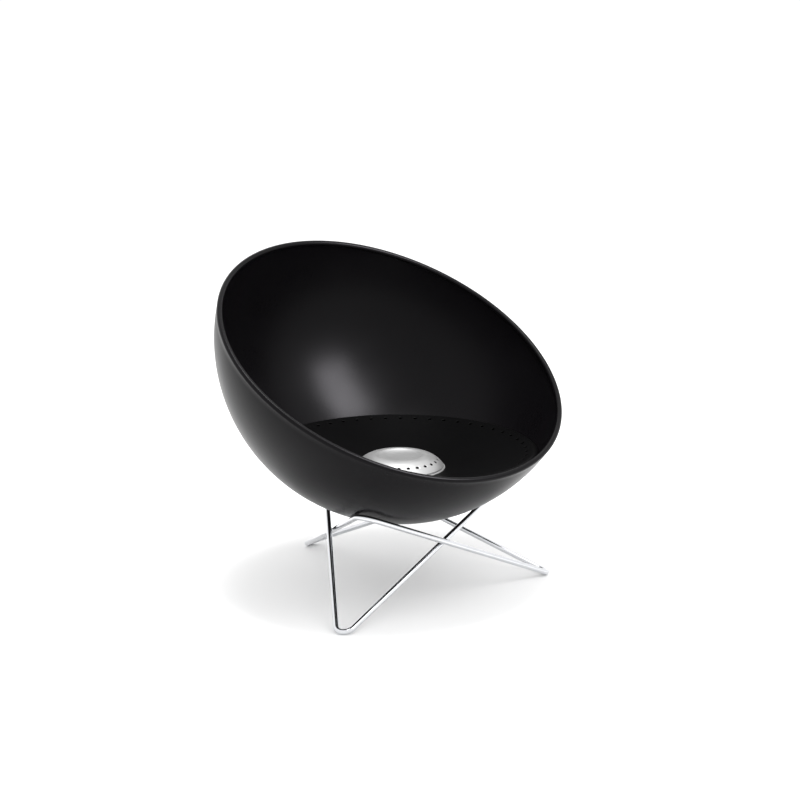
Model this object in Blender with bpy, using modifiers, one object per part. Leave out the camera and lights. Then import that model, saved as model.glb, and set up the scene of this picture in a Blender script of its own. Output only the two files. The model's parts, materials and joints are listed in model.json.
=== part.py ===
"""A globe fire bowl: a tilted round bowl with a dished fire plate and an air cap, on a bent rod stand.

Metres, +Z up. The origin is on the floor, at the middle of the object's footprint, and the
opening faces -Y. An azimuth is an angle about the turning axis, from -Y towards +X.
"""
import math

import bmesh
import bpy
from mathutils import Matrix, Vector

# Bowl: a thin sphere cut off below its widest circle, with a bead rolled along the edge
BOWL_RADIUS = 0.325
BOWL_WALL = 0.0025
OPENING_TILT = math.radians(31.4)
OPENING_OFFSET = -0.0335
BEAD_RADIUS = 0.005
BEAD_RING = 0.31855
BOWL_WALL_SEGMENTS = 15
BEAD_SEGMENTS = 9
AIR_INLET_RADIUS = 0.030
AIR_INLET_SIDES = 24

# Fire plate: a shallow dish with a turned-over edge that rests on the bowl's wall
PLATE_WALL = 0.002
PLATE_HOLE_RING = 0.226
PLATE_HOLE_RING_DEPTH = 0.2001
PLATE_CURVE = 0.7526
PLATE_EDGE_RADIUS = 0.008
PLATE_EDGE_RING = 0.2378
PLATE_LIP_ANGLE = math.radians(-25)
PLATE_DISH_RADII = (0.050, 0.082, 0.120, 0.155, 0.190, 0.216)
PLATE_EDGE_SEGMENTS = 7
PLATE_EDGE_INSIDE_SEGMENTS = 5
PLATE_HOLES = 50
PLATE_TURN = math.radians(1.4)

# Air cap: a round-shouldered hollow cap with a dish in its top and holes round its side
CAP_WALL = 0.002
CAP_RADIUS = 0.0802
CAP_HEIGHT = 0.0232
CAP_SHOULDER_RADIUS = 0.0458
CAP_SHOULDER_SEGMENTS = 7
CAP_FOOT_TURN = math.radians(2.5)
CAP_DISH_DEPTH = 0.008
CAP_DISH_PROFILE = ((0.0, 1.0), (0.020, 0.9), (0.032, 0.6))
CAP_EDGE_RADIUS = 0.003
CAP_EDGE_START = math.radians(160)
CAP_EDGE_SEGMENTS = 3
CAP_HOLES = 25
CAP_HOLE_SLOPE = math.radians(35.5)
CAP_TURN = math.radians(0.3)

AIR_HOLE_RADIUS = 0.003
AIR_HOLE_SIDES = 8
CUT_PAST_WALL = 0.003

# Stand: a zigzag of round rod, with three feet and three tops, bent as three equal hairpins
ROD_RADIUS = 0.005
FOOT_CORNER = (0.2955, -0.00575)
TOP_CORNER = (0.2112, 0.18935)
FOOT_BEND_RADIUS = 0.015
TOP_BEND_RADIUS = 0.023
FOOT_BEND_SEGMENTS = 14
TOP_BEND_SEGMENTS = 12
FIRST_FOOT = math.radians(-60.7)
THIRD_TURN = math.radians(120)
ROD_BEVEL_RESOLUTION = 4

GAP = 0.0003
BOWL_STEPS = 60
PLATE_STEPS = 50
CAP_STEPS = 50
MERGE = 0.00005

BLACK = (0.012, 0.012, 0.014, 1.0)
PALE_STEEL = (0.72, 0.72, 0.71, 1.0)
BRIGHT_STEEL = (0.80, 0.81, 0.82, 1.0)


def clear_scene():
    for old in list(bpy.data.objects):
        bpy.data.objects.remove(old, do_unlink=True)


def new_collection(name):
    collection = bpy.data.collections.new(name)
    bpy.context.scene.collection.children.link(collection)
    return collection


def new_material(name, colour, roughness, metallic):
    material = bpy.data.materials.new(name)
    material.use_nodes = True
    shader = material.node_tree.nodes["Principled BSDF"]
    shader.inputs["Base Color"].default_value = colour
    shader.inputs["Roughness"].default_value = roughness
    shader.inputs["Metallic"].default_value = metallic
    return material


def arc(centre, radius, start, end, segments):
    """Points (out, up) round a centre, from one angle to another; 0 points out, 90 degrees up."""
    points = []
    for index in range(segments + 1):
        angle = start + (end - start) * index / segments
        points.append((centre[0] + radius * math.cos(angle), centre[1] + radius * math.sin(angle)))
    return points


def at_azimuth(radius, azimuth, height):
    return Vector((radius * math.sin(azimuth), -radius * math.cos(azimuth), height))


def turned(name, outline, closed, steps, collection, material):
    """A body of revolution about its own Z axis; the outline runs out over the top, back under."""
    mesh = bpy.data.meshes.new(name)
    edges = [(index, index + 1) for index in range(len(outline) - 1)]
    if closed:
        edges.append((len(outline) - 1, 0))
    mesh.from_pydata([(out, 0.0, up) for out, up in outline], edges, [])
    mesh.materials.append(material)
    body = bpy.data.objects.new(name, mesh)
    collection.objects.link(body)
    screw = body.modifiers.new("Turn", "SCREW")
    screw.axis = "Z"
    screw.steps = steps
    screw.render_steps = steps
    screw.use_merge_vertices = True
    screw.merge_threshold = MERGE
    screw.use_smooth_shade = True
    return body


def cut(body, cutter):
    boolean = body.modifiers.new("Cut " + cutter.name, "BOOLEAN")
    boolean.operation = "DIFFERENCE"
    boolean.solver = "EXACT"
    boolean.object = cutter


def pin_cutter(name, pins, radius, length, sides, collection):
    """One cutter made of round pins; each pin is a centre and the direction it points in."""
    shape = bmesh.new()
    for centre, direction in pins:
        place = Matrix.Translation(centre) @ direction.to_track_quat("Z", "Y").to_matrix().to_4x4()
        bmesh.ops.create_cone(shape, cap_ends=True, segments=sides, radius1=radius, radius2=radius,
                              depth=length, matrix=place)
    mesh = bpy.data.meshes.new(name)
    shape.to_mesh(mesh)
    shape.free()
    cutter = bpy.data.objects.new(name, mesh)
    cutter.hide_render = True
    cutter.display_type = "WIRE"
    collection.objects.link(cutter)
    return cutter


# The rod: arms are straight, and a smooth bend joins each arm to the next

def arm(foot_index, top_index):
    """Corner points of an arm, foot end first.

    Two arms cross halfway between their feet. The one that leads back to the previous top
    passes outside, and the other inside, so that the rods touch there without meeting.
    """
    foot_azimuth = FIRST_FOOT + THIRD_TURN * foot_index
    step = -1 if (foot_index - top_index) % 3 == 1 else 1
    top_azimuth = foot_azimuth + step * THIRD_TURN
    across = at_azimuth(1.0, foot_azimuth + step * THIRD_TURN / 2, 0.0)
    foot = at_azimuth(FOOT_CORNER[0], foot_azimuth, FOOT_CORNER[1])
    top = at_azimuth(TOP_CORNER[0], top_azimuth, TOP_CORNER[1])
    along = (top - foot).normalized()
    mirrored = along - 2 * along.dot(tangent(across)) * tangent(across)
    apart = along.cross(mirrored).normalized()
    side = across * (ROD_RADIUS + GAP / 2) / abs(apart.dot(across)) * -step
    return foot + side, top + side


def tangent(outward):
    """The level direction at right angles to an outward one."""
    return Vector((-outward.y, outward.x, 0.0))


def bend(corner_a, towards_a, corner_b, towards_b, radius, segments):
    """Points of a round bend between two arms, from the arm that leads to a, to the one to b."""
    direction_a = (towards_a - corner_a).normalized()
    direction_b = (towards_b - corner_b).normalized()
    opening = direction_a.angle(direction_b)
    reach = radius / math.tan(opening / 2)
    handle = 4 / 3 * math.tan((math.pi - opening) / 4) * radius
    ends = corner_a + direction_a * reach, corner_b + direction_b * reach
    handles = ends[0] - direction_a * handle, ends[1] - direction_b * handle
    points = []
    for index in range(segments + 1):
        t = index / segments
        s = 1 - t
        points.append(ends[0] * s ** 3 + handles[0] * 3 * s * s * t
                      + handles[1] * 3 * s * t * t + ends[1] * t ** 3)
    return points


def half_bend(corner_a, towards_a, corner_b, towards_b):
    """The half of a top bend next to arm a, which ends square just short of its middle."""
    points = bend(corner_a, towards_a, corner_b, towards_b, TOP_BEND_RADIUS, TOP_BEND_SEGMENTS)
    half = TOP_BEND_SEGMENTS // 2
    onward = (points[half + 1] - points[half - 1]).normalized()
    end = [points[half] - onward * ROD_RADIUS / 3, points[half] - onward * GAP / 2]
    return points[:half] + end


def hairpin_points():
    """Centreline of one hairpin: half a top bend, an arm, the foot bend, an arm, half a top bend."""
    outer_foot, outer_top = arm(0, 2)
    inner_foot, inner_top = arm(0, 1)
    next_foot, next_top = arm(1, 2)
    last_foot, last_top = arm(2, 1)
    first = half_bend(outer_top, outer_foot, next_top, next_foot)
    foot = bend(outer_foot, outer_top, inner_foot, inner_top, FOOT_BEND_RADIUS, FOOT_BEND_SEGMENTS)
    last = half_bend(inner_top, inner_foot, last_top, last_foot)
    return list(reversed(first)) + foot + last


def bowl_height():
    """Height of the bowl's centre when its outer wall rests on the three inner arms."""
    foot, top = arm(0, 1)
    along = (top - foot).normalized()
    clear = BOWL_RADIUS + ROD_RADIUS + GAP
    # the distance from (0, 0, height) to the arm's line equals clear: a quadratic in height
    a = 1 - along.z ** 2
    b = -2 * (foot.z - foot.dot(along) * along.z)
    c = foot.dot(foot) - foot.dot(along) ** 2 - clear ** 2
    return (-b + math.sqrt(b * b - 4 * a * c)) / (2 * a)


def bowl_outline():
    bead = (BEAD_RING, OPENING_OFFSET)
    distance = math.hypot(*bead)
    facing = math.atan2(bead[1], bead[0])

    def meets(wall_radius):
        """Angle round the bead, below its outward side, where a wall of this radius runs in."""
        cosine = (wall_radius ** 2 - distance ** 2 - BEAD_RADIUS ** 2) / (2 * distance * BEAD_RADIUS)
        return facing - math.acos(cosine)

    inner_radius = BOWL_RADIUS - BOWL_WALL
    bead_points = arc(bead, BEAD_RADIUS, meets(inner_radius) + math.tau, meets(BOWL_RADIUS), BEAD_SEGMENTS)
    inner_end, outer_start = bead_points[0], bead_points[-1]
    pole = math.radians(-90)
    inner_top = math.atan2(inner_end[1], inner_end[0])
    outer_top = math.atan2(outer_start[1], outer_start[0])
    inner = arc((0, 0), inner_radius, pole, inner_top, BOWL_WALL_SEGMENTS)
    outer = arc((0, 0), BOWL_RADIUS, outer_top, pole, BOWL_WALL_SEGMENTS)
    return inner + bead_points[1:-1] + outer


def plate_top(radius):
    """Height of the fire plate's upper face above the bowl's centre, on the dished part."""
    return -PLATE_HOLE_RING_DEPTH + PLATE_CURVE * (radius ** 2 - PLATE_HOLE_RING ** 2)


def plate_outline():
    slope = math.atan(2 * PLATE_CURVE * PLATE_EDGE_RING)
    start = math.radians(90) + slope
    join = PLATE_EDGE_RING - PLATE_EDGE_RADIUS * math.sin(slope)
    centre = (PLATE_EDGE_RING, plate_top(join) - PLATE_EDGE_RADIUS * math.cos(slope))
    inside_radius = PLATE_EDGE_RADIUS - PLATE_WALL
    over = arc(centre, PLATE_EDGE_RADIUS, start, PLATE_LIP_ANGLE, PLATE_EDGE_SEGMENTS)
    under = arc(centre, inside_radius, PLATE_LIP_ANGLE, start, PLATE_EDGE_INSIDE_SEGMENTS)
    top = [(radius, plate_top(radius)) for radius in PLATE_DISH_RADII]
    below = [(radius, plate_top(radius) - PLATE_WALL) for radius in reversed(PLATE_DISH_RADII)]
    return top + over + under + below


def cap_base_angle():
    return math.asin((CAP_SHOULDER_RADIUS - CAP_HEIGHT) / CAP_SHOULDER_RADIUS)


def cap_shoulder():
    """Centre (out, up) of the round shoulder, seen from the cap's base."""
    out = CAP_RADIUS - CAP_SHOULDER_RADIUS * math.cos(cap_base_angle())
    return out, CAP_HEIGHT - CAP_SHOULDER_RADIUS


def cap_outline():
    centre = cap_shoulder()
    base = cap_base_angle()
    up = math.radians(90)
    edge_centre = (centre[0], CAP_HEIGHT - CAP_EDGE_RADIUS)
    shoulder = arc(centre, CAP_SHOULDER_RADIUS, up, base, CAP_SHOULDER_SEGMENTS)
    edge = arc(edge_centre, CAP_EDGE_RADIUS, CAP_EDGE_START, up, CAP_EDGE_SEGMENTS)
    dish = [(out, CAP_HEIGHT - CAP_DISH_DEPTH * share) for out, share in CAP_DISH_PROFILE]
    inside_radius = CAP_SHOULDER_RADIUS - CAP_WALL
    inside_shoulder = arc(centre, inside_radius, base + CAP_FOOT_TURN, up, CAP_SHOULDER_SEGMENTS - 1)
    inside_dish = [(out, height - CAP_WALL) for out, height in reversed(dish)]
    foot = [(centre[0] + inside_radius * math.cos(base), 0.0)]
    return dish + edge[:-1] + shoulder + foot + inside_shoulder + inside_dish


def make_bowl(collection, cutters, centre):
    enamel = new_material("bowl_enamel", BLACK, 0.42, 0.0)
    bowl = turned("bowl", bowl_outline(), False, BOWL_STEPS, collection, enamel)
    bowl.location = centre
    bowl.rotation_euler = (OPENING_TILT, 0.0, 0.0)
    bottom = centre + Vector((0.0, 0.0, -BOWL_RADIUS))
    # long enough to pass both faces of the wall, which curves up towards the inlet's edge
    length = 2 * (BOWL_WALL + CUT_PAST_WALL + AIR_INLET_RADIUS ** 2 / BOWL_RADIUS)
    cut(bowl, pin_cutter("air_inlet_cutter", [(bottom, Vector((0, 0, 1)))], AIR_INLET_RADIUS,
                         length, AIR_INLET_SIDES, cutters))


def make_plate(collection, cutters, centre):
    enamel = new_material("plate_enamel", BLACK, 0.5, 0.0)
    plate = turned("fire_plate", plate_outline(), True, PLATE_STEPS, collection, enamel)
    plate.location = centre
    # the screw's seams lie between the holes
    plate.rotation_euler = (0.0, 0.0, PLATE_TURN)
    pins = []
    for index in range(PLATE_HOLES):
        azimuth = PLATE_TURN + math.tau * index / PLATE_HOLES
        height = plate_top(PLATE_HOLE_RING) - PLATE_WALL / 2
        pins.append((centre + at_azimuth(PLATE_HOLE_RING, azimuth, height), Vector((0, 0, 1))))
    length = 2 * (PLATE_WALL + CUT_PAST_WALL)
    cut(plate, pin_cutter("plate_hole_cutters", pins, AIR_HOLE_RADIUS, length, AIR_HOLE_SIDES, cutters))


def make_cap(collection, cutters, centre):
    steel = new_material("cap_steel", PALE_STEEL, 0.35, 1.0)
    cap = turned("air_cap", cap_outline(), False, CAP_STEPS, collection, steel)
    base = centre + Vector((0.0, 0.0, plate_top(CAP_RADIUS) + GAP))
    cap.location = base
    cap.rotation_euler = (0.0, 0.0, CAP_TURN)
    shoulder = cap_shoulder()
    pins = []
    for index in range(CAP_HOLES):
        azimuth = CAP_TURN + math.tau * index / CAP_HOLES
        facing = at_azimuth(math.sin(CAP_HOLE_SLOPE), azimuth, math.cos(CAP_HOLE_SLOPE))
        ring = at_azimuth(shoulder[0], azimuth, shoulder[1])
        middle = base + ring + facing * (CAP_SHOULDER_RADIUS - CAP_WALL / 2)
        pins.append((middle, facing))
    length = CAP_WALL + 2 * CUT_PAST_WALL
    cut(cap, pin_cutter("cap_hole_cutters", pins, AIR_HOLE_RADIUS, length, AIR_HOLE_SIDES, cutters))


def make_stand(collection, axis):
    steel = new_material("stand_steel", BRIGHT_STEEL, 0.12, 1.0)
    points = hairpin_points()
    curve = bpy.data.curves.new("stand_rod", "CURVE")
    curve.dimensions = "3D"
    curve.bevel_depth = ROD_RADIUS
    curve.bevel_resolution = ROD_BEVEL_RESOLUTION
    curve.use_fill_caps = True
    spline = curve.splines.new("POLY")
    spline.points.add(len(points) - 1)
    for target, point in zip(spline.points, points):
        target.co = (point.x, point.y, point.z, 1.0)
    curve.materials.append(steel)
    for index, place in enumerate(("left", "right", "back")):
        rod = bpy.data.objects.new("stand_rod_" + place, curve)
        rod.location = axis
        rod.rotation_euler = (0.0, 0.0, THIRD_TURN * index)
        collection.objects.link(rod)


def main():
    clear_scene()
    parts = new_collection("globe_fire_bowl")
    cutters = new_collection("cutters")
    # the footprint runs from the low lip of the opening, at -Y, to the bowl's back
    lip = BEAD_RING * math.cos(OPENING_TILT) + BEAD_RADIUS + OPENING_OFFSET * math.sin(OPENING_TILT)
    axis = Vector((0.0, (lip - BOWL_RADIUS) / 2, 0.0))
    centre = axis + Vector((0.0, 0.0, bowl_height()))
    make_stand(parts, axis)
    make_bowl(parts, cutters, centre)
    make_plate(parts, cutters, centre)
    make_cap(parts, cutters, centre)


main()
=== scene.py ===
import json
import math

import bmesh
import bpy
import numpy as np
from mathutils import Matrix, Vector


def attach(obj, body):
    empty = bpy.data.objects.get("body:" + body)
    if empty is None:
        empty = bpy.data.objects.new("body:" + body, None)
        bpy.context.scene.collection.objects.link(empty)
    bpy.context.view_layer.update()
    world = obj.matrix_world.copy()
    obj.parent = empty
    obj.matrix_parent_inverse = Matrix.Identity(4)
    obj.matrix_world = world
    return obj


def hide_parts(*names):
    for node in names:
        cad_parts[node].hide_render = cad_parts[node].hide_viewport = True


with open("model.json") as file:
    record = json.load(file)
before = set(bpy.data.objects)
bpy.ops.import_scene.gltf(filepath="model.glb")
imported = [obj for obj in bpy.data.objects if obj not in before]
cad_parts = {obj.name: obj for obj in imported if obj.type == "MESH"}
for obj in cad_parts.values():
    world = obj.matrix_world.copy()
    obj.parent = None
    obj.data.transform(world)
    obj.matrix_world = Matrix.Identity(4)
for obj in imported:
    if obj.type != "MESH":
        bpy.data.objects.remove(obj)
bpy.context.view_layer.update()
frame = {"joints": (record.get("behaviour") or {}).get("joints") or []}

# sizes in metres, angles in degrees; an azimuth turns from -Y towards +X
bowlTurn = next(joint for joint in frame["joints"] if joint["name"] == "bowl_turn")
bowlCentre = Vector(bowlTurn["pos_m"])
standAxis = Vector((bowlCentre.x, bowlCentre.y, 0.0))


def arcPoints(centre, radius, startAngle, endAngle, segments):
    # an arc in an outline's own plane, as (out, up) pairs
    points = []
    for index in range(segments + 1):
        angle = math.radians(startAngle + (endAngle - startAngle) * index / segments)
        points.append((centre[0] + radius * math.cos(angle), centre[1] + radius * math.sin(angle)))
    return points


def onRing(radius, azimuth, height):
    # a point at this distance from the upright axis
    turn = math.radians(azimuth)
    return Vector((radius * math.sin(turn), -radius * math.cos(turn), height))


def chain(shape, points):
    # a row of joined vertices in the XZ plane, ready to be spun
    verts = [shape.verts.new((out, 0.0, up)) for out, up in points]
    edges = [shape.edges.new(pair) for pair in zip(verts, verts[1:])]
    return verts + edges


mergeReach = 0.00002   # vertices closer than this are one


def spinFull(shape, geometry, steps):
    bmesh.ops.spin(shape, geom=geometry, cent=(0, 0, 0), axis=(0, 0, 1), dvec=(0, 0, 0),
                   angle=math.tau, steps=steps, use_merge=True, use_duplicate=False)
    bmesh.ops.remove_doubles(shape, verts=shape.verts[:], dist=mergeReach)


def finishPiece(shape, name, material, body, nodesReplaced, sharpAngle=40):
    bmesh.ops.recalc_face_normals(shape, faces=shape.faces[:])
    mesh = bpy.data.meshes.new(name)
    shape.to_mesh(mesh)
    shape.free()
    mesh.materials.append(material)
    mesh.shade_smooth()
    mesh.set_sharp_from_angle(angle=math.radians(sharpAngle))
    piece = bpy.data.objects.new(name, mesh)
    bpy.context.scene.collection.objects.link(piece)
    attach(piece, body)
    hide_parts(*nodesReplaced)
    print("made", name, len(mesh.polygons), "faces")
    return piece


def newMaterial(name):
    material = bpy.data.materials.new(name)
    material.use_nodes = True
    return material, material.node_tree.nodes, material.node_tree.links


def noiseAt(nodes, links, vector, scale, detail=4.0, roughness=0.5):
    noise = nodes.new("ShaderNodeTexNoise")
    noise.inputs["Scale"].default_value = scale
    noise.inputs["Detail"].default_value = detail
    noise.inputs["Roughness"].default_value = roughness
    links.new(vector, noise.inputs["Vector"])
    return noise.outputs["Fac"]


def ranged(nodes, links, value, low, high, fromLow=0.3, fromHigh=0.7):
    spread = nodes.new("ShaderNodeMapRange")
    spread.inputs["From Min"].default_value = fromLow
    spread.inputs["From Max"].default_value = fromHigh
    spread.inputs["To Min"].default_value = low
    spread.inputs["To Max"].default_value = high
    links.new(value, spread.inputs["Value"])
    return spread.outputs["Result"]


def tinted(nodes, links, value, colourLow, colourHigh):
    mix = nodes.new("ShaderNodeMix")
    mix.data_type = "RGBA"
    mix.inputs["A"].default_value = (*colourLow, 1.0)
    mix.inputs["B"].default_value = (*colourHigh, 1.0)
    links.new(value, mix.inputs["Factor"])
    return mix.outputs["Result"]


def summed(nodes, links, first, second):
    total = nodes.new("ShaderNodeMath")
    links.new(first, total.inputs[0])
    links.new(second, total.inputs[1])
    return total.outputs["Value"]


def bumped(nodes, links, height, distance, strength):
    bump = nodes.new("ShaderNodeBump")
    bump.inputs["Distance"].default_value = distance
    bump.inputs["Strength"].default_value = strength
    links.new(height, bump.inputs["Height"])
    return bump.outputs["Normal"]


def mapped(nodes, links, centre):
    place = nodes.new("ShaderNodeTexCoord")
    mapping = nodes.new("ShaderNodeMapping")
    mapping.vector_type = "TEXTURE"
    mapping.inputs["Location"].default_value = centre
    links.new(place.outputs["Object"], mapping.inputs["Vector"])
    return mapping.outputs["Vector"]


def aroundAxis(nodes, links, centre, grain):
    # a vector that changes fast outwards and slowly round the axis, for turned and brushed metal
    place = mapped(nodes, links, centre)
    split = nodes.new("ShaderNodeSeparateXYZ")
    links.new(place, split.inputs["Vector"])
    flat = nodes.new("ShaderNodeCombineXYZ")
    links.new(split.outputs["X"], flat.inputs["X"])
    links.new(split.outputs["Y"], flat.inputs["Y"])
    distance = nodes.new("ShaderNodeVectorMath")
    distance.operation = "LENGTH"
    links.new(flat.outputs["Vector"], distance.inputs[0])
    heading = nodes.new("ShaderNodeVectorMath")
    heading.operation = "NORMALIZE"
    links.new(flat.outputs["Vector"], heading.inputs[0])
    parts = nodes.new("ShaderNodeSeparateXYZ")
    links.new(heading.outputs["Vector"], parts.inputs["Vector"])
    along = nodes.new("ShaderNodeMath")
    along.operation = "ADD"
    links.new(distance.outputs["Value"], along.inputs[0])
    links.new(split.outputs["Z"], along.inputs[1])
    stretched = nodes.new("ShaderNodeMath")
    stretched.operation = "MULTIPLY"
    stretched.inputs[1].default_value = grain
    links.new(along.outputs["Value"], stretched.inputs[0])
    result = nodes.new("ShaderNodeCombineXYZ")
    links.new(parts.outputs["X"], result.inputs["X"])
    links.new(parts.outputs["Y"], result.inputs["Y"])
    links.new(stretched.outputs["Value"], result.inputs["Z"])
    return result.outputs["Vector"]


def satinEnamel(name, look):
    material, nodes, links = newMaterial(name)
    shader = nodes["Principled BSDF"]
    place = mapped(nodes, links, bowlCentre)
    cloud = noiseAt(nodes, links, place, look["cloudScale"], 3.0)
    fine = noiseAt(nodes, links, place, look["speckScale"], 2.0)
    peel = noiseAt(nodes, links, place, look["peelScale"], 2.0, 0.6)
    links.new(tinted(nodes, links, cloud, look["dark"], look["light"]), shader.inputs["Base Color"])
    rough = ranged(nodes, links, cloud, look["roughLow"], look["roughHigh"])
    grain = ranged(nodes, links, fine, -look["speckRough"], look["speckRough"])
    links.new(summed(nodes, links, rough, grain), shader.inputs["Roughness"])
    peelBump = bumped(nodes, links, peel, look["peelDepth"], look["peelStrength"])
    links.new(peelBump, shader.inputs["Normal"])
    shader.inputs["Specular IOR Level"].default_value = look["specular"]
    return material


bowlLook = {
    "dark": (0.0026, 0.0023, 0.0028), "light": (0.0042, 0.0038, 0.0045),
    "roughLow": 0.27, "roughHigh": 0.33, "specular": 0.07,
    "cloudScale": 7.0, "speckScale": 900.0, "speckRough": 0.02,
    "peelScale": 420.0, "peelDepth": 0.00006, "peelStrength": 0.35,
}
plateLook = dict(
    bowlLook, dark=(0.0020, 0.0020, 0.0021), light=(0.0029, 0.0028, 0.0030), specular=0.03,
    roughLow=0.36, roughHigh=0.44, peelScale=520.0,
)


def brushedSteel(look):
    material, nodes, links = newMaterial("capSteel")
    shader = nodes["Principled BSDF"]
    around = aroundAxis(nodes, links, bowlCentre, look["ringGrain"])
    rings = noiseAt(nodes, links, around, look["ringScale"], 5.0, 0.65)
    cloud = noiseAt(nodes, links, mapped(nodes, links, bowlCentre), look["cloudScale"], 3.0)
    links.new(tinted(nodes, links, rings, look["dark"], look["light"]), shader.inputs["Base Color"])
    rough = ranged(nodes, links, cloud, look["roughLow"], look["roughHigh"])
    streaks = ranged(nodes, links, rings, -look["streakRough"], look["streakRough"])
    links.new(summed(nodes, links, rough, streaks), shader.inputs["Roughness"])
    grainBump = bumped(nodes, links, rings, look["grainDepth"], look["grainStrength"])
    links.new(grainBump, shader.inputs["Normal"])
    shader.inputs["Metallic"].default_value = look["metallic"]
    return material


capLook = {
    "dark": (0.36, 0.36, 0.36), "light": (0.45, 0.45, 0.45), "roughLow": 0.40, "roughHigh": 0.48,
    "metallic": 0.7, "ringGrain": 260.0, "ringScale": 1.6, "cloudScale": 30.0, "streakRough": 0.05,
    "grainDepth": 0.00003, "grainStrength": 0.4,
}


def polishedBar(look):
    material, nodes, links = newMaterial("standBar")
    shader = nodes["Principled BSDF"]
    place = mapped(nodes, links, standAxis)
    cloud = noiseAt(nodes, links, place, look["cloudScale"], 3.0)
    fine = noiseAt(nodes, links, place, look["drawScale"], 3.0, 0.6)
    links.new(tinted(nodes, links, cloud, look["dark"], look["light"]), shader.inputs["Base Color"])
    rough = ranged(nodes, links, fine, look["roughLow"], look["roughHigh"])
    links.new(rough, shader.inputs["Roughness"])
    drawBump = bumped(nodes, links, fine, look["drawDepth"], look["drawStrength"])
    links.new(drawBump, shader.inputs["Normal"])
    shader.inputs["Metallic"].default_value = 1.0
    return material


barLook = {
    "dark": (0.58, 0.59, 0.61), "light": (0.68, 0.69, 0.71), "roughLow": 0.06, "roughHigh": 0.12,
    "cloudScale": 25.0, "drawScale": 600.0, "drawDepth": 0.00002, "drawStrength": 0.25,
}


# bowl: a spun shell with a rolled rim, tilted, with the air inlet at its lowest point
bowlSize = {
    "radius": 0.3246, "wall": 0.0022, "tilt": 31.4, "rimOffset": -0.0335,
    "beadRadius": 0.00495, "beadRing": 0.31845, "inletRadius": 0.030,
    "spinSteps": 288, "wallRows": 56, "beadRows": 26,
}


def bowlOutline(size):
    bead = (size["beadRing"], size["rimOffset"])
    reach = math.hypot(*bead)
    facing = math.degrees(math.atan2(bead[1], bead[0]))
    inner = size["radius"] - size["wall"]

    def meets(wallRadius):
        # how far below its outward side the bead meets a wall of this radius
        cosine = (wallRadius ** 2 - reach ** 2 - size["beadRadius"] ** 2) / (2 * reach * size["beadRadius"])
        return facing - math.degrees(math.acos(cosine))

    roll = arcPoints(bead, size["beadRadius"], meets(inner) + 360, meets(size["radius"]), size["beadRows"])
    innerTop = math.degrees(math.atan2(roll[0][1], roll[0][0]))
    outerTop = math.degrees(math.atan2(roll[-1][1], roll[-1][0]))
    inside = arcPoints((0, 0), inner, -90, innerTop, size["wallRows"])
    outside = arcPoints((0, 0), size["radius"], outerTop, -90, size["wallRows"])
    return inside + roll[1:-1] + outside


def cutInlet(shape, size):
    # opens both walls at the bowl's lowest point, and joins the two edges
    inside = [face for face in shape.faces
              if math.hypot(*face.calc_center_median().xy) < size["inletRadius"]
              and face.calc_center_median().z < 0]
    bmesh.ops.delete(shape, geom=inside, context="FACES")
    edges = [edge for edge in shape.edges if edge.is_boundary]
    for vert in {vert for edge in edges for vert in edge.verts}:
        distance = vert.co.length
        flat = vert.co.xy.normalized() * size["inletRadius"]
        vert.co = Vector((flat.x, flat.y, -math.sqrt(distance ** 2 - size["inletRadius"] ** 2)))
    bmesh.ops.bridge_loops(shape, edges=edges)


def makeBowl(size):
    shape = bmesh.new()
    spinFull(shape, chain(shape, bowlOutline(size)), size["spinSteps"])
    tilt = Matrix.Rotation(math.radians(size["tilt"]), 3, "X")
    bmesh.ops.transform(shape, matrix=tilt.to_4x4(), verts=shape.verts[:])
    cutInlet(shape, size)
    bmesh.ops.translate(shape, vec=bowlCentre, verts=shape.verts[:])
    return finishPiece(shape, "fireBowl", satinEnamel("bowlEnamel", bowlLook), "bowl",
                       ["bowl"])


def sectorReach(holes):
    # half the width and half the length of the patch of sheet that holds one air hole
    halfWide = math.pi * holes["ring"] / holes["count"]
    return halfWide, halfWide * math.tan(math.radians(30))


def sheetSector(holes, rowsIn, rowsOut):
    # one sector of a punched sheet, drawn flat: across (x) and along (y) from the hole's middle
    shape = bmesh.new()
    halfWide, halfLong = sectorReach(holes)
    bmesh.ops.create_circle(shape, cap_ends=False, segments=holes["sides"], radius=holes["radius"])
    edges = shape.edges[:]
    for share in holes["spread"]:
        grown = bmesh.ops.extrude_edge_only(shape, edges=edges)["geom"]
        edges = [item for item in grown if isinstance(item, bmesh.types.BMEdge)]
        for vert in [item for item in grown if isinstance(item, bmesh.types.BMVert)]:
            heading = vert.co.xy.normalized()
            square = min(halfWide / max(abs(heading.x), 1e-9), halfLong / max(abs(heading.y), 1e-9))
            distance = holes["radius"] + (square - holes["radius"]) * share
            vert.co = Vector((heading.x * distance, heading.y * distance, 0.0))
        edges = [edge for edge in edges if edge.is_boundary]
    for side, rows in ((-1, rowsIn), (1, rowsOut)):
        row = [edge for edge in shape.edges if edge.is_boundary
               and all(abs(vert.co.y - side * halfLong) < 1e-6 for vert in edge.verts)]
        for step in rows:
            grown = bmesh.ops.extrude_edge_only(shape, edges=row)["geom"]
            verts = [item for item in grown if isinstance(item, bmesh.types.BMVert)]
            row = [item for item in grown if isinstance(item, bmesh.types.BMEdge)
                   and abs(item.verts[0].co.y - item.verts[1].co.y) < 1e-9]
            for vert in verts:
                vert.co.y = side * (halfLong + step)
    return shape


def sectorRows(size, holes, lengths):
    # distances of the sector's rows from the hole's patch, inwards and outwards
    halfLong = sectorReach(holes)[1]
    rowsIn = np.linspace(0, -lengths[0] - halfLong, size["rowsIn"] + 1)[1:]
    rowsOut = np.linspace(0, lengths[-1] - halfLong, size["rowsOut"] + 1)[1:]
    return rowsIn, rowsOut


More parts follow.
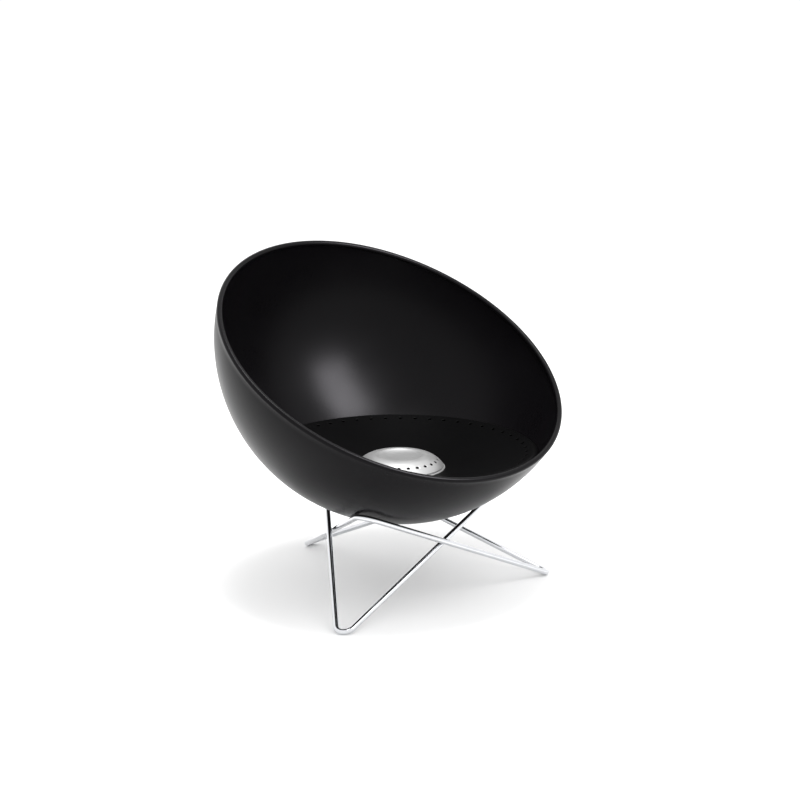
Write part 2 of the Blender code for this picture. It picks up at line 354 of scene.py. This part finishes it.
def wrapSector(shape, holes, outlineAt):
    # bends the flat sector onto the outline, and sinks the punched edge a little
    for vert in shape.verts:
        sunk = 0.0
        if abs(vert.co.xy.length - holes["radius"]) < 1e-6:
            sunk = holes["sink"]
        azimuth = math.degrees(vert.co.x / holes["ring"])
        out, up = outlineAt(vert.co.y)
        vert.co = onRing(out, azimuth, up - sunk)


def repeatSector(shape, holes):
    bmesh.ops.spin(shape, geom=shape.verts[:] + shape.edges[:] + shape.faces[:], cent=(0, 0, 0),
                   axis=(0, 0, 1), dvec=(0, 0, 0), angle=math.tau, steps=holes["count"],
                   use_merge=False, use_duplicate=True)
    bmesh.ops.remove_doubles(shape, verts=shape.verts[:], dist=mergeReach)


def thicken(shape, wall):
    bmesh.ops.recalc_face_normals(shape, faces=shape.faces[:])
    top = max(shape.faces, key=lambda face: face.calc_area() * abs(face.normal.z))
    if top.normal.z < 0:
        bmesh.ops.reverse_faces(shape, faces=shape.faces[:])
    bmesh.ops.solidify(shape, geom=shape.faces[:], thickness=wall)


def alongOutline(points, origin):
    # turns an outline into a function of the distance along it, measured from one of its points
    corners = np.array(points)
    lengths = np.concatenate([[0.0], np.cumsum(np.linalg.norm(np.diff(corners, axis=0), axis=1))])
    start = lengths[origin]

    def at(distance):
        return (float(np.interp(distance + start, lengths, corners[:, 0])),
                float(np.interp(distance + start, lengths, corners[:, 1])))

    return at, lengths - start


# fire plate: dished, with a turned-over edge and a ring of air holes
plateSize = {
    "wall": 0.0012, "holeRing": 0.226, "ringHeight": -0.2001, "curve": 0.7526,
    "edgeRadius": 0.008, "edgeRing": 0.2378, "lipAngle": -25, "opening": 0.050, "turn": 1.4,
    "dishSteps": 240, "edgeSteps": 40, "rowsIn": 14, "rowsOut": 18,
}
plateHoles = {
    "count": 50, "ring": 0.226, "radius": 0.0036, "sides": 24, "spread": (0.07, 0.22, 0.55, 1.0),
    "sink": 0.00035,
}


def plateHeight(size, radius):
    return size["ringHeight"] + size["curve"] * (radius ** 2 - size["holeRing"] ** 2)


def plateOutline(size):
    slope = math.degrees(math.atan(2 * size["curve"] * size["edgeRing"]))
    join = size["edgeRing"] - size["edgeRadius"] * math.sin(math.radians(slope))
    centre = (size["edgeRing"],
              plateHeight(size, join) - size["edgeRadius"] * math.cos(math.radians(slope)))
    dish = [(radius, plateHeight(size, radius))
            for radius in np.linspace(size["opening"], join, size["dishSteps"])]
    over = arcPoints(centre, size["edgeRadius"], 90 + slope, size["lipAngle"], size["edgeSteps"])
    return dish + over[1:]


def makePlate(size, holes):
    points = plateOutline(size)
    ringPoint = min(range(len(points)), key=lambda index: abs(points[index][0] - size["holeRing"]))
    outlineAt, lengths = alongOutline(points, ringPoint)
    shape = sheetSector(holes, *sectorRows(size, holes, lengths))
    wrapSector(shape, holes, outlineAt)
    repeatSector(shape, holes)
    thicken(shape, -size["wall"])
    turn = Matrix.Rotation(math.radians(size["turn"]), 4, "Z")
    bmesh.ops.transform(shape, matrix=Matrix.Translation(bowlCentre) @ turn, verts=shape.verts[:])
    return finishPiece(shape, "firePlate", satinEnamel("plateEnamel", plateLook), "plate",
                       ["fire_plate"])


# air cap: a round shoulder, a dished top, a ring of air holes and a thin lip at its foot
capSize = {
    "wall": 0.001, "radius": 0.0801, "height": 0.0232, "shoulder": 0.0458, "dishDepth": 0.006,
    "dishFlare": 5, "edgeRadius": 0.0012, "edgeStart": 155, "holeSlope": 35.5, "turn": 0.3,
    "creaseHigh": 0.0042, "lipWide": 0.0031, "aboveSheet": 0.0003,
    "dishSteps": 60, "edgeSteps": 12, "shoulderSteps": 90, "rowsIn": 39, "rowsOut": 35,
}
capHoles = {
    "count": 25, "ring": 0.067, "radius": 0.0035, "sides": 24, "spread": (0.10, 0.30, 0.62, 1.0),
    "sink": 0.0003,
}


def capOutline(size):
    baseAngle = math.degrees(math.asin((size["shoulder"] - size["height"]) / size["shoulder"]))
    centre = (size["radius"] - size["shoulder"] * math.cos(math.radians(baseAngle)),
              size["height"] - size["shoulder"])
    edgeCentre = (centre[0], size["height"] - size["edgeRadius"])
    edge = arcPoints(edgeCentre, size["edgeRadius"], size["edgeStart"], 90, size["edgeSteps"])
    dish = []
    bottom = size["height"] - size["dishDepth"]
    for share in np.linspace(0, 1, size["dishSteps"], endpoint=False):
        # a saucer that steepens towards its edge
        rise = 0.35 * share ** 2 + 0.65 * share ** size["dishFlare"]
        dish.append((edge[0][0] * share, bottom + (edge[0][1] - bottom) * rise))
    creaseAngle = math.degrees(math.asin((size["creaseHigh"] - centre[1]) / size["shoulder"]))
    shoulder = arcPoints(centre, size["shoulder"], 90, creaseAngle, size["shoulderSteps"])
    inset = size["radius"] - size["lipWide"]
    # a hollow crease under the shoulder, then the thin lip that stands on the plate
    lip = [(inset + 0.0002, 0.0029), (inset, 0.0021), (inset + 0.0004, 0.0015), (inset + 0.0012, 0.0012),
           (size["radius"] - 0.0005, 0.0011), (size["radius"] - 0.0001, 0.0009), (size["radius"], 0.0005),
           (size["radius"] - 0.0002, 0.0002)]
    return dish + edge + shoulder[1:] + lip, centre


def makeCap(size, holes):
    points, centre = capOutline(size)
    slope = math.radians(size["holeSlope"])
    wanted = Vector((centre[0] + size["shoulder"] * math.sin(slope),
                     centre[1] + size["shoulder"] * math.cos(slope)))
    ringPoint = min(range(len(points)), key=lambda index: (Vector(points[index]) - wanted).length)
    outlineAt, lengths = alongOutline(points, ringPoint)
    shape = sheetSector(holes, *sectorRows(size, holes, lengths))
    wrapSector(shape, holes, outlineAt)
    repeatSector(shape, holes)
    thicken(shape, -size["wall"])
    foot = plateHeight(plateSize, size["radius"]) + size["aboveSheet"]
    base = bowlCentre + Vector((0, 0, foot))
    turn = Matrix.Rotation(math.radians(size["turn"]), 4, "Z")
    bmesh.ops.transform(shape, matrix=Matrix.Translation(base) @ turn, verts=shape.verts[:])
    return finishPiece(shape, "airCap", brushedSteel(capLook), "cap", ["air_cap"])


# stand: one closed zigzag of polished bar, with three feet and three tops
standSize = {
    "barRadius": 0.00497, "footCorner": (0.2955, -0.00575), "topCorner": (0.2112, 0.18935),
    "footBend": 0.015, "topBend": 0.023, "firstFoot": -60.7, "bendSteps": 22, "barSides": 28,
    "apart": 0.00515,   # half the distance between the middles of two bars where they cross
}


def standArm(size, footIndex, topIndex):
    # the two sharp corners of a straight arm, before the bends round them
    footAzimuth = size["firstFoot"] + 120 * footIndex
    step = -1 if (footIndex - topIndex) % 3 == 1 else 1   # -1 passes outside where two arms cross
    across = onRing(1.0, footAzimuth + step * 60, 0.0)
    foot = onRing(size["footCorner"][0], footAzimuth, size["footCorner"][1])
    top = onRing(size["topCorner"][0], footAzimuth + step * 120, size["topCorner"][1])
    along = (top - foot).normalized()
    level = Vector((-across.y, across.x, 0.0))
    mirrored = along - 2 * along.dot(level) * level
    apart = along.cross(mirrored).normalized()
    side = across * size["apart"] / abs(apart.dot(across)) * -step
    return foot + side, top + side


def standBend(size, armIn, armOut, radius):
    # armIn and armOut are (corner, far end); a smooth curve rounds the corner between them
    directionIn = (armIn[1] - armIn[0]).normalized()
    directionOut = (armOut[1] - armOut[0]).normalized()
    opening = directionIn.angle(directionOut)
    reach = radius / math.tan(opening / 2)
    handle = 4 / 3 * math.tan((math.pi - opening) / 4) * radius
    start = armIn[0] + directionIn * reach
    end = armOut[0] + directionOut * reach
    startHandle = start - directionIn * handle
    endHandle = end - directionOut * handle
    points = []
    for index in range(size["bendSteps"] + 1):
        t = index / size["bendSteps"]
        s = 1 - t
        points.append(start * s ** 3 + startHandle * 3 * s * s * t
                      + endHandle * 3 * s * t * t + end * t ** 3)
    return points


def standPath(size):
    path = []
    foot = 0
    for leg in range(3):
        lastTop = (foot - 1) % 3
        nextTop = (foot + 1) % 3
        nextFoot = (foot + 2) % 3
        armDown = standArm(size, foot, lastTop)
        armUp = standArm(size, foot, nextTop)
        nextDown = standArm(size, nextFoot, nextTop)
        path += standBend(size, armDown, armUp, size["footBend"])
        path += standBend(size, armUp[::-1], nextDown[::-1], size["topBend"])
        foot = nextFoot
    return path


def sweepLoop(path, radius, sides):
    # carries a circle round a closed path without twisting it, and spreads what is left over
    count = len(path)
    tangents = [(path[(index + 1) % count] - path[index - 1]).normalized() for index in range(count)]
    across = [tangents[0].orthogonal().normalized()]
    for index in range(1, count + 1):
        turn = tangents[index - 1].rotation_difference(tangents[index % count])
        across.append((turn @ across[-1]).normalized())
    closing = across[0].cross(across[-1]).dot(tangents[0])
    leftOver = math.atan2(closing, across[0].dot(across[-1]))
    shape = bmesh.new()
    bmesh.ops.create_circle(shape, cap_ends=False, segments=sides, radius=radius)
    ring = shape.verts[:]
    flatRing = [vert.co.copy() for vert in ring]
    firstEdges = shape.edges[:]
    edges = firstEdges
    for index in range(count):
        if index:
            grown = bmesh.ops.extrude_edge_only(shape, edges=edges)["geom"]
            ring = [item for item in grown if isinstance(item, bmesh.types.BMVert)]
            edges = [item for item in grown if isinstance(item, bmesh.types.BMEdge)]
        side = Matrix.Rotation(-leftOver * index / count, 3, tangents[index]) @ across[index]
        other = tangents[index].cross(side)
        for vert, flat in zip(ring, flatRing):
            vert.co = path[index] + side * flat.x + other * flat.y
    bmesh.ops.bridge_loops(shape, edges=firstEdges + edges)
    return shape


def makeStand(size):
    shape = sweepLoop(standPath(size), size["barRadius"], size["barSides"])
    bmesh.ops.translate(shape, vec=standAxis, verts=shape.verts[:])
    return finishPiece(shape, "standBar", polishedBar(barLook), "stand",
                       ["stand_rod_left", "stand_rod_right", "stand_rod_back"], sharpAngle=60)


fireBowl = makeBowl(bowlSize)
firePlate = makePlate(plateSize, plateHoles)
airCap = makeCap(capSize, capHoles)
standBar = makeStand(standSize)


# floor, light and camera
studio = {
    "floorSize": 60.0, "floorDark": (0.95, 0.95, 0.95), "floorLight": (0.97, 0.97, 0.97),
    "floorScale": 3.0, "worldStrength": 1.30, "backdropStrength": 1.05,
}
view = {
    "distance": 2.7537, "azimuth": -41.59, "elevation": 11.055, "tiltDown": 13.29, "roll": 0.174,
    "lens": 70.59, "sensor": 36.0,
}


def makeFloor(look):
    shape = bmesh.new()
    bmesh.ops.create_grid(shape, x_segments=2, y_segments=2, size=look["floorSize"] / 2)
    mesh = bpy.data.meshes.new("studioFloor")
    shape.to_mesh(mesh)
    shape.free()
    material, nodes, links = newMaterial("palePaper")
    shader = nodes["Principled BSDF"]
    place = mapped(nodes, links, standAxis)
    cloud = noiseAt(nodes, links, place, look["floorScale"], 2.0)
    paper = tinted(nodes, links, cloud, look["floorDark"], look["floorLight"])
    links.new(paper, shader.inputs["Base Color"])
    shader.inputs["Roughness"].default_value = 0.9
    shader.inputs["Specular IOR Level"].default_value = 0.1
    mesh.materials.append(material)
    floor = bpy.data.objects.new("studioFloor", mesh)
    bpy.context.scene.collection.objects.link(floor)


def makeWorld(look):
    # an even pale surround, which the camera sees dimmer than the object does
    world = bpy.data.worlds.new("studio")
    bpy.context.scene.world = world
    world.use_nodes = True
    nodes, links = world.node_tree.nodes, world.node_tree.links
    nodes.clear()
    out = nodes.new("ShaderNodeOutputWorld")
    seen = nodes.new("ShaderNodeBackground")
    seen.inputs["Color"].default_value = (1, 1, 1, 1)
    seen.inputs["Strength"].default_value = look["backdropStrength"]
    around = nodes.new("ShaderNodeBackground")
    around.inputs["Color"].default_value = (1, 1, 1, 1)
    around.inputs["Strength"].default_value = look["worldStrength"]
    path = nodes.new("ShaderNodeLightPath")
    mix = nodes.new("ShaderNodeMixShader")
    links.new(path.outputs["Is Camera Ray"], mix.inputs["Fac"])
    links.new(around.outputs["Background"], mix.inputs[1])
    links.new(seen.outputs["Background"], mix.inputs[2])
    links.new(mix.outputs["Shader"], out.inputs["Surface"])


def softBox(name, azimuth, elevation, distance, wide, high, power):
    data = bpy.data.lights.new(name, "AREA")
    data.shape = "RECTANGLE"
    data.size = wide
    data.size_y = high
    data.energy = power
    lamp = bpy.data.objects.new(name, data)
    rise = math.radians(elevation)
    offset = onRing(distance * math.cos(rise), azimuth, distance * math.sin(rise))
    lamp.location = bowlCentre + offset
    lamp.rotation_euler = offset.to_track_quat("Z", "Y").to_euler()
    bpy.context.scene.collection.objects.link(lamp)
    return lamp


def shineOnlyOn(lamp, pieces):
    receivers = bpy.data.collections.new(lamp.name + "Receivers")
    for piece in pieces:
        receivers.objects.link(piece)
    lamp.light_linking.receiver_collection = receivers


def makeLights():
    softBox("topBox", 0, 90, 2.6, 1.0, 1.0, 62)
    softBox("keyBox", 14, 50, 2.6, 1.2, 1.4, 14)
    # the long soft highlight inside the bowl
    sheen = softBox("sheenBox", 14, 41, 2.55, 1.15, 1.9, 200)
    sheen.visible_diffuse = False
    sheen.data.color = (0.97, 0.94, 1.0)
    shineOnlyOn(sheen, [fireBowl, firePlate])
    # the pale left side of the cap
    fill = softBox("capBox", -105, 62, 2.6, 1.4, 1.4, 40)
    shineOnlyOn(fill, [airCap])


def makeCamera(view):
    data = bpy.data.cameras.new("camera")
    data.lens = view["lens"]
    data.sensor_width = view["sensor"]
    data.clip_end = 200.0
    camera = bpy.data.objects.new("camera", data)
    rise = math.radians(view["elevation"])
    offset = onRing(view["distance"] * math.cos(rise), view["azimuth"], view["distance"] * math.sin(rise))
    turn = Matrix.Rotation(math.radians(view["azimuth"]), 4, "Z")
    lean = Matrix.Rotation(math.radians(90 - view["tiltDown"]), 4, "X")
    roll = Matrix.Rotation(math.radians(view["roll"]), 4, "Z")
    camera.matrix_world = Matrix.Translation(bowlCentre + offset) @ turn @ lean @ roll
    bpy.context.scene.collection.objects.link(camera)
    bpy.context.scene.camera = camera


makeFloor(studio)
makeWorld(studio)
makeLights()
makeCamera(view)
bpy.context.scene.view_settings.view_transform = "Standard"
print("studio ready")
